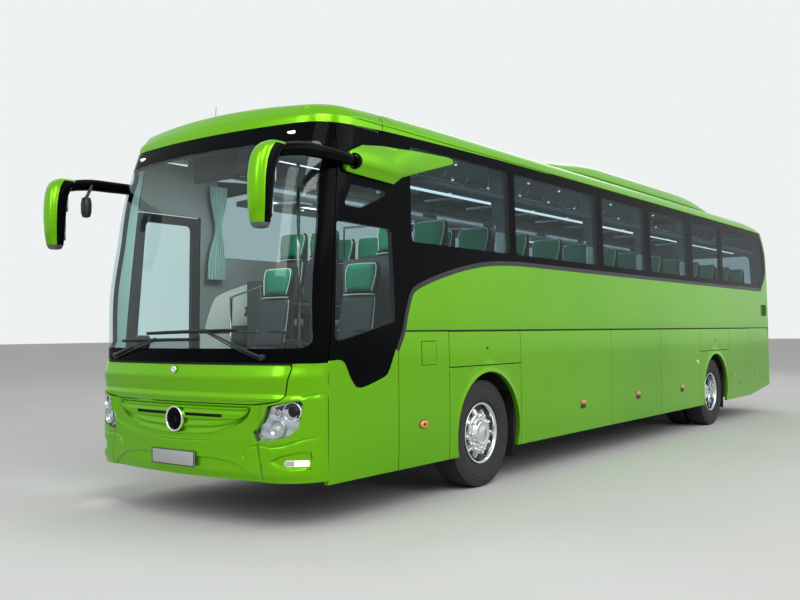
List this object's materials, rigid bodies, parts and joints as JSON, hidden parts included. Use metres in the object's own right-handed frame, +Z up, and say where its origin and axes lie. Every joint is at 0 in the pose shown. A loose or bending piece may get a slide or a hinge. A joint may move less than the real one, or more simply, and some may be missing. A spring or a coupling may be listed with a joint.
{
  "type": "coach bus",
  "caption": "High-deck touring coach with opening doors, flaps and lids, steered front wheels, twin rear wheels and a furnished cabin behind glass.",
  "frame": {"origin": "on the ground at the centre of the bounding box", "axes": "+X to the coach's left side, front towards -Y, +Z up"},
  "size_m": [2.76, 13.478, 3.6798],
  "materials": {
    "green_paint": "gloss",
    "black_gloss": "gloss",
    "black_plastic": "textured",
    "glass": "clear",
    "lamp": "clear",
    "tail_lamp": "clear",
    "plate": "satin",
    "alloy": "polished",
    "tyre": "matte",
    "steel": "satin",
    "cast": "rough",
    "floor": "matte",
    "seat": "woven",
    "rack": "satin",
    "rubber": "matte"
  },
  "bodies": {
    "coach": {"left_wall": "green_paint", "right_wall": "green_paint", "roof": "green_paint", "roof_visor": "green_paint", "roof_air_con": "green_paint", "front_bumper": "green_paint", "grille_panel": "green_paint", "rear_wall": "green_paint", "rear_bumper": "green_paint", "front_mask": "black_gloss", "mirrors": "black_plastic", "dashboard": "black_plastic", "wipers": "black_plastic", "windscreen": "glass", "windows": "glass", "headlamps": "lamp", "tail_lamps": "tail_lamp", "number_plates": "plate", "chassis_frame": "steel", "front_axle": "steel", "rear_axle": "steel", "engine_block": "cast", "floor_deck": "floor", "seats": "seat", "luggage_racks": "rack", "mud_flaps": "rubber"},
    "steering_wheel": {"steering_wheel": "black_plastic"},
    "left_knuckle": {"left_knuckle": "steel"},
    "right_knuckle": {"right_knuckle": "steel"},
    "front_left_wheel": {"front_left_rim": "alloy", "front_left_tyre": "tyre"},
    "front_right_wheel": {"front_right_rim": "alloy", "front_right_tyre": "tyre"},
    "rear_left_wheels": {"rear_left_rims": "alloy", "rear_left_tyres": "tyre"},
    "rear_right_wheels": {"rear_right_rims": "alloy", "rear_right_tyres": "tyre"},
    "front_door": {"front_door": "green_paint", "front_door_glass": "glass"},
    "front_door_arm": {"front_door_arm": "steel"},
    "mid_door": {"mid_door": "green_paint", "mid_door_glass": "glass"},
    "mid_door_arm": {"mid_door_arm": "steel"},
    "front_flap": {"front_flap": "green_paint"},
    "engine_flap": {"engine_flap": "green_paint"},
    "service_lid": {"service_lid": "green_paint"},
    "left_front_luggage_flap": {"left_front_luggage_flap": "green_paint"},
    "left_middle_luggage_flap": {"left_middle_luggage_flap": "green_paint"},
    "left_rear_luggage_flap": {"left_rear_luggage_flap": "green_paint"},
    "right_front_luggage_flap": {"right_front_luggage_flap": "green_paint"},
    "right_middle_luggage_flap": {"right_middle_luggage_flap": "green_paint"},
    "right_rear_luggage_flap": {"right_rear_luggage_flap": "green_paint"},
    "left_front_arch_flap": {"left_front_arch_flap": "green_paint"},
    "left_rear_arch_flap": {"left_rear_arch_flap": "green_paint"},
    "left_engine_side_flap": {"left_engine_side_flap": "green_paint"},
    "right_front_arch_flap": {"right_front_arch_flap": "green_paint"},
    "right_rear_arch_flap": {"right_rear_arch_flap": "green_paint"},
    "right_engine_side_flap": {"right_engine_side_flap": "green_paint"}
  },
  "joints": [
    {"name": "left_steer", "type": "hinge", "parent": "coach", "child": "left_knuckle", "pos_m": [0.905, -3.556, 0.522], "axis": [0, 0, 1], "range_deg": [-48, 48]},
    {"name": "right_steer", "type": "hinge", "parent": "coach", "child": "right_knuckle", "pos_m": [-0.905, -3.556, 0.522], "axis": [0, 0, 1], "range_deg": [-48, 48]},
    {"name": "steering_wheel_turn", "type": "hinge", "parent": "coach", "child": "steering_wheel", "pos_m": [0.705, -5.576, 1.29], "axis": [0, 0.606, 0.7954], "range_deg": [-720, 720]},
    {"name": "front_left_spin", "type": "hinge", "parent": "left_knuckle", "child": "front_left_wheel", "pos_m": [1.045, -3.556, 0.522], "axis": [1, 0, 0], "continuous": true},
    {"name": "front_right_spin", "type": "hinge", "parent": "right_knuckle", "child": "front_right_wheel", "pos_m": [-1.045, -3.556, 0.522], "axis": [1, 0, 0], "continuous": true},
    {"name": "rear_left_spin", "type": "hinge", "parent": "coach", "child": "rear_left_wheels", "pos_m": [0.887, 3.354, 0.522], "axis": [1, 0, 0], "continuous": true},
    {"name": "rear_right_spin", "type": "hinge", "parent": "coach", "child": "rear_right_wheels", "pos_m": [-0.887, 3.354, 0.522], "axis": [1, 0, 0], "continuous": true},
    {"name": "front_door_swing", "type": "hinge", "parent": "coach", "child": "front_door_arm", "pos_m": [-1.15, -5.871, 0.9], "axis": [0, 0, 1], "range_deg": [0, 105]},
    {"name": "front_door_turn", "type": "hinge", "parent": "front_door_arm", "child": "front_door", "pos_m": [-1.125, -5.391, 0.9], "axis": [0, 0, 1], "range_deg": [-105, 0]},
    {"name": "mid_door_swing", "type": "hinge", "parent": "coach", "child": "mid_door_arm", "pos_m": [-1.15, 1.139, 0.9], "axis": [0, 0, 1], "range_deg": [0, 105]},
    {"name": "mid_door_turn", "type": "hinge", "parent": "mid_door_arm", "child": "mid_door", "pos_m": [-1.125, 1.539, 0.9], "axis": [0, 0, 1], "range_deg": [-105, 0]},
    {"name": "front_flap_hinge", "type": "hinge", "parent": "coach", "child": "front_flap", "pos_m": [0, -6.356, 1.284], "axis": [1, 0, 0], "range_deg": [-80, 0]},
    {"name": "engine_flap_hinge", "type": "hinge", "parent": "coach", "child": "engine_flap", "pos_m": [0, 6.727, 1.97], "axis": [-1, 0, 0], "range_deg": [-90, 0]},
    {"name": "service_lid_hinge", "type": "hinge", "parent": "coach", "child": "service_lid", "pos_m": [1.271, -4.698, 1.33], "axis": [0, 0, 1], "range_deg": [-110, 0]},
    {"name": "left_front_luggage_hinge", "type": "hinge", "parent": "coach", "child": "left_front_luggage_flap", "pos_m": [1.271, -1.793, 1.521], "axis": [0, 1, 0], "range_deg": [-90, 0]},
    {"name": "left_middle_luggage_hinge", "type": "hinge", "parent": "coach", "child": "left_middle_luggage_flap", "pos_m": [1.271, 0.1695, 1.521], "axis": [0, 1, 0], "range_deg": [-90, 0]},
    {"name": "left_rear_luggage_hinge", "type": "hinge", "parent": "coach", "child": "left_rear_luggage_flap", "pos_m": [1.271, 1.8025, 1.521], "axis": [0, 1, 0], "range_deg": [-90, 0]},
    {"name": "left_front_arch_flap_hinge", "type": "hinge", "parent": "coach", "child": "left_front_arch_flap", "pos_m": [1.271, -3.596, 1.521], "axis": [0, 1, 0], "range_deg": [-90, 0]},
    {"name": "left_rear_arch_flap_hinge", "type": "hinge", "parent": "coach", "child": "left_rear_arch_flap", "pos_m": [1.271, 3.3375, 1.521], "axis": [0, 1, 0], "range_deg": [-90, 0]},
    {"name": "left_engine_side_flap_hinge", "type": "hinge", "parent": "coach", "child": "left_engine_side_flap", "pos_m": [1.271, 4.644, 1.521], "axis": [0, 1, 0], "range_deg": [-90, 0]},
    {"name": "right_front_luggage_hinge", "type": "hinge", "parent": "coach", "child": "right_front_luggage_flap", "pos_m": [-1.271, -1.793, 1.521], "axis": [0, -1, 0], "range_deg": [-90, 0]},
    {"name": "right_middle_luggage_hinge", "type": "hinge", "parent": "coach", "child": "right_middle_luggage_flap", "pos_m": [-1.271, 0.2095, 1.521], "axis": [0, -1, 0], "range_deg": [-90, 0]},
    {"name": "right_rear_luggage_hinge", "type": "hinge", "parent": "coach", "child": "right_rear_luggage_flap", "pos_m": [-1.271, 2.2125, 1.521], "axis": [0, -1, 0], "range_deg": [-90, 0]},
    {"name": "right_front_arch_flap_hinge", "type": "hinge", "parent": "coach", "child": "right_front_arch_flap", "pos_m": [-1.271, -3.596, 1.521], "axis": [0, -1, 0], "range_deg": [-90, 0]},
    {"name": "right_rear_arch_flap_hinge", "type": "hinge", "parent": "coach", "child": "right_rear_arch_flap", "pos_m": [-1.271, 3.3375, 1.521], "axis": [0, -1, 0], "range_deg": [-90, 0]},
    {"name": "right_engine_side_flap_hinge", "type": "hinge", "parent": "coach", "child": "right_engine_side_flap", "pos_m": [-1.271, 4.644, 1.521], "axis": [0, -1, 0], "range_deg": [-90, 0]}
  ],
  "couplings": [
    {"joint": "right_steer", "follows": "left_steer", "ratio": 1},
    {"joint": "steering_wheel_turn", "follows": "left_steer", "ratio": 15},
    {"joint": "front_door_turn", "follows": "front_door_swing", "ratio": -1},
    {"joint": "mid_door_turn", "follows": "mid_door_swing", "ratio": -1}
  ]
}
